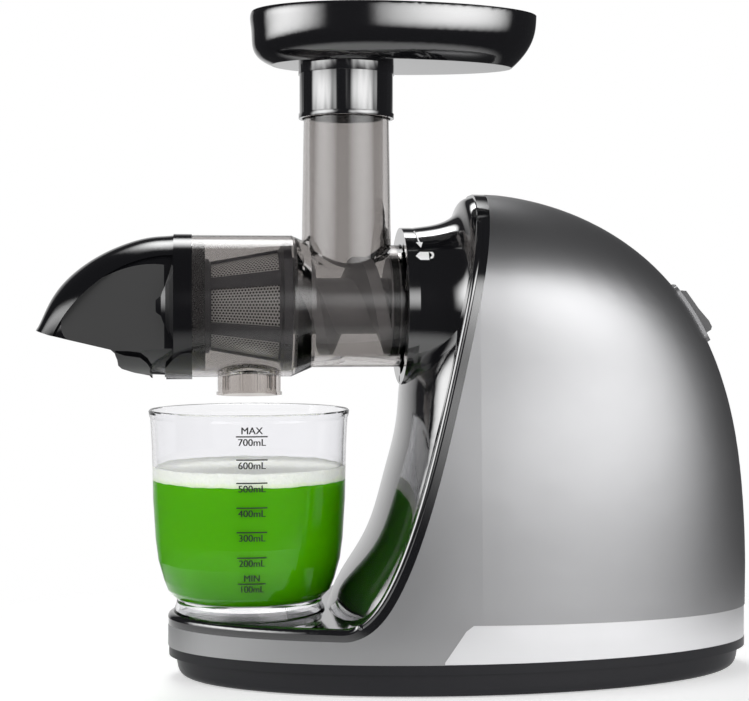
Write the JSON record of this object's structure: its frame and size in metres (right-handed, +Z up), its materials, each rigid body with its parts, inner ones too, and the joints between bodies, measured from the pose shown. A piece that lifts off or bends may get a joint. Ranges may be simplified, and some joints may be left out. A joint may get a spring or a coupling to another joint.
{
  "type": "cold press juicer",
  "caption": "Horizontal slow juicer: auger in a clear chamber with feed tray, pulp outlet and strainer, driven through gears, over a juice cup on an oval base.",
  "frame": {"origin": "On the floor under the rubber feet, midway along the length and on the plane of symmetry.", "axes": "+X runs along the auger's axis from the pulp outlet to the motor housing, +Y to the side, +Z up."},
  "size_m": [0.3979, 0.1438, 0.367],
  "materials": {
    "shell_grey": "satin metallic grey",
    "black_gloss": "gloss black",
    "trim_silver": "brushed silver",
    "base_black": "fine matt",
    "rubber": "matt",
    "steel": "brushed",
    "case_grey": "moulded",
    "bronze": "plain",
    "zinc": "zinc plated",
    "lamination": "stacked sheets",
    "copper": "enamelled wire",
    "board_green": "plain",
    "capacitor_yellow": "gloss",
    "gear_white": "moulded",
    "auger_grey": "satin",
    "smoky_clear": "clear, smoky tint",
    "clear": "clear",
    "frame_black": "satin",
    "juice_green": "liquid",
    "foam": "frothy",
    "rocker_black": "satin"
  },
  "bodies": {
    "housing": {"body_shell": "shell_grey", "front_panel": "black_gloss", "trim_band": "trim_silver", "base_plate": "base_black", "rubber_feet": "rubber", "base_screws": "steel", "cord_gland": "rubber", "collar_ring": "black_gloss", "collar_screws": "steel", "gear_case": "case_grey", "gear_cover": "case_grey", "case_screws": "steel", "output_bushes": "bronze", "counter_bushes": "bronze", "shaft_seal": "rubber", "motor_can": "zinc", "end_bell": "zinc", "motor_bearings": "steel", "stator_core": "lamination", "field_coils": "copper", "brush_holders": "bronze", "circuit_board": "board_green", "capacitors": "capacitor_yellow", "switch_bezel": "base_black", "switch_body": "base_black"},
    "drive": {"output_shaft": "steel", "output_gear": "gear_white", "auger": "auger_grey", "auger_seal": "rubber"},
    "layshaft": {"counter_shaft": "steel", "counter_pinion": "steel", "counter_gear": "gear_white"},
    "rotor": {"rotor_shaft": "steel", "motor_pinion": "steel", "armature_core": "lamination", "commutator": "copper", "cooling_fan": "gear_white"},
    "chamber": {"juicing_chamber": "smoky_clear", "juice_spout": "clear", "strainer_frame": "frame_black", "strainer_mesh": "steel"},
    "cap": {"end_cap": "black_gloss", "cap_bush": "bronze"},
    "tray": {"feed_tray": "black_gloss"},
    "cup": {"juice_cup": "clear", "juice": "juice_green", "juice_foam": "foam"},
    "rocker": {"switch_rocker": "rocker_black"}
  },
  "joints": [
    {"name": "auger_spin", "type": "hinge", "parent": "housing", "child": "drive", "pos_m": [0, 0, 0.205], "axis": [1, 0, 0], "continuous": true},
    {"name": "layshaft_spin", "type": "hinge", "parent": "housing", "child": "layshaft", "pos_m": [0.06, 0, 0.15687], "axis": [1, 0, 0], "continuous": true},
    {"name": "rotor_spin", "type": "hinge", "parent": "housing", "child": "rotor", "pos_m": [0.12, 0, 0.11837], "axis": [1, 0, 0], "continuous": true},
    {"name": "chamber_twist", "type": "hinge", "parent": "housing", "child": "chamber", "pos_m": [0, 0, 0.205], "axis": [1, 0, 0], "range_deg": [0, 40]},
    {"name": "cap_twist", "type": "hinge", "parent": "chamber", "child": "cap", "pos_m": [-0.12, 0, 0.205], "axis": [-1, 0, 0], "range_deg": [0, 30]},
    {"name": "tray_lift", "type": "slide", "parent": "chamber", "child": "tray", "axis": [0, 0, 1], "range_m": [0, 0.06]},
    {"name": "cup_slide", "type": "slide", "parent": "housing", "child": "cup", "axis": [-1, 0, 0], "range_m": [0, 0.18]},
    {"name": "switch_rock", "type": "hinge", "parent": "housing", "child": "rocker", "pos_m": [0.16432, 0, 0.19995], "axis": [0, 1, 0], "range_deg": [-9, 9]}
  ],
  "couplings": [
    {"joint": "layshaft_spin", "follows": "auger_spin", "ratio": -4.5},
    {"joint": "rotor_spin", "follows": "auger_spin", "ratio": 20.25}
  ]
}
